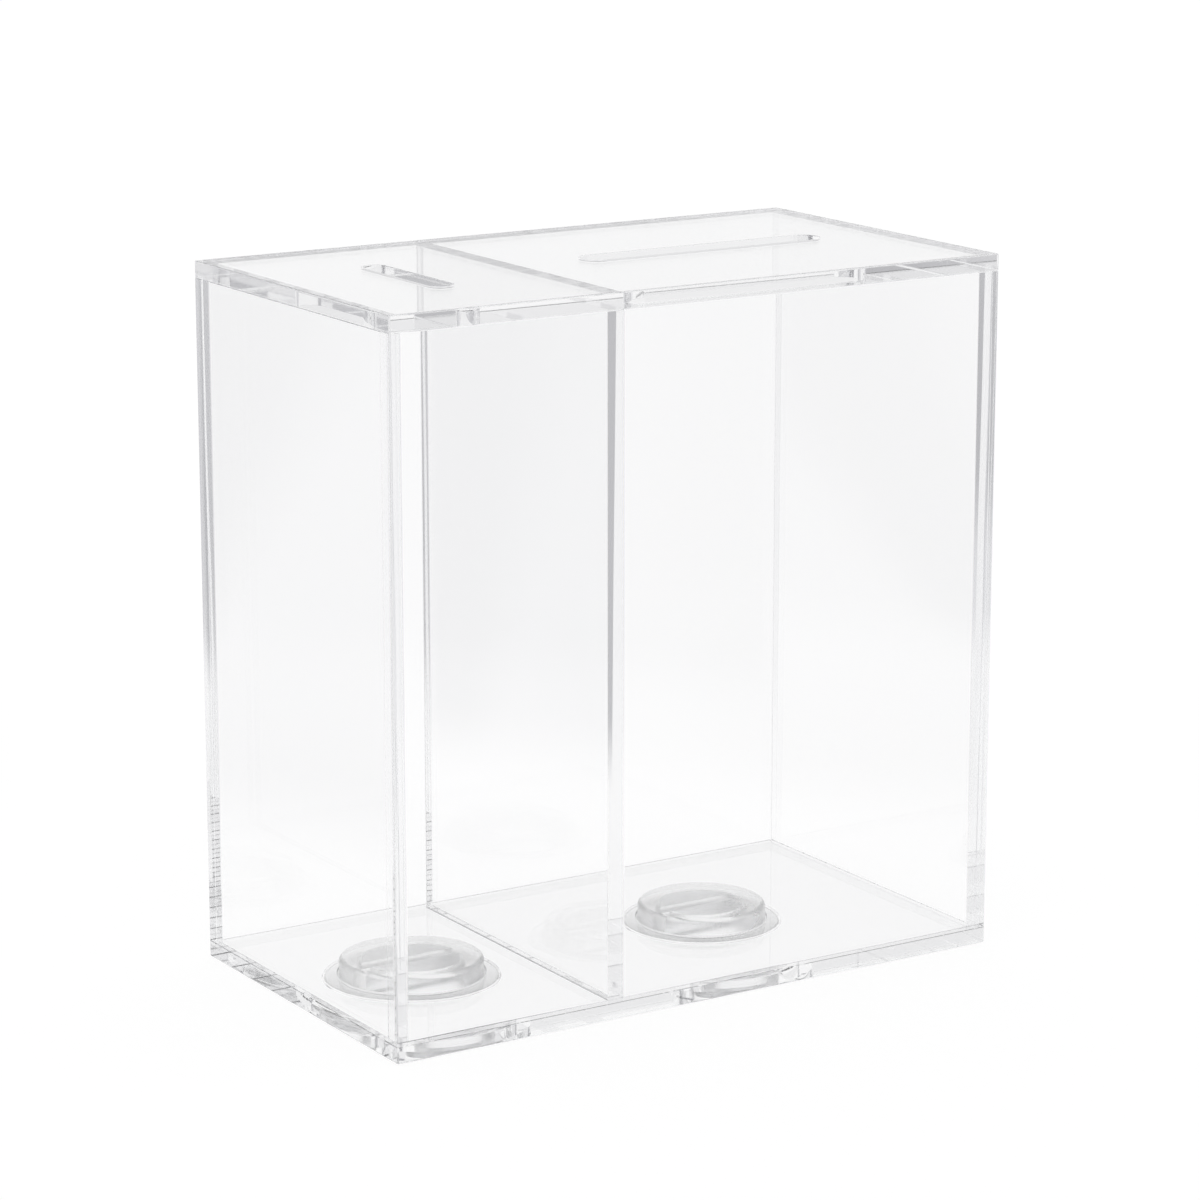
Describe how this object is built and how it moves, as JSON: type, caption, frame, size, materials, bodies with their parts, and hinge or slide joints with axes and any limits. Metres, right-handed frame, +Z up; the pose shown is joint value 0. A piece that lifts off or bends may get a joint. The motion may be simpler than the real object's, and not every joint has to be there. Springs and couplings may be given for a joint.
{
  "type": "acrylic money box",
  "caption": "Clear upright acrylic money box with a narrow and a wide compartment, a slot in the top over each, and press-in stoppers in the base for emptying it.",
  "frame": {"origin": "middle of the footprint, on the surface that the box stands on", "axes": "+Z up, +X to the right seen from the front, +Y from the front to the back; the narrow compartment is on the -X side"},
  "size_m": [0.165, 0.092, 0.17],
  "materials": {
    "acrylic": "clear cast acrylic sheet with polished edges and clear bonded joints",
    "stopper": "soft translucent silicone, satin"
  },
  "bodies": {
    "box": {"top_panel": "acrylic", "base_panel": "acrylic", "front_panel": "acrylic", "back_panel": "acrylic", "left_panel": "acrylic", "right_panel": "acrylic", "divider_panel": "acrylic"},
    "left_stopper": {"left_stopper": "stopper"},
    "right_stopper": {"right_stopper": "stopper"}
  },
  "joints": [
    {"name": "left_stopper_pull", "type": "slide", "parent": "box", "child": "left_stopper", "axis": [0, 0, -1], "range_m": [0, 0.02]},
    {"name": "right_stopper_pull", "type": "slide", "parent": "box", "child": "right_stopper", "axis": [0, 0, -1], "range_m": [0, 0.02]}
  ]
}
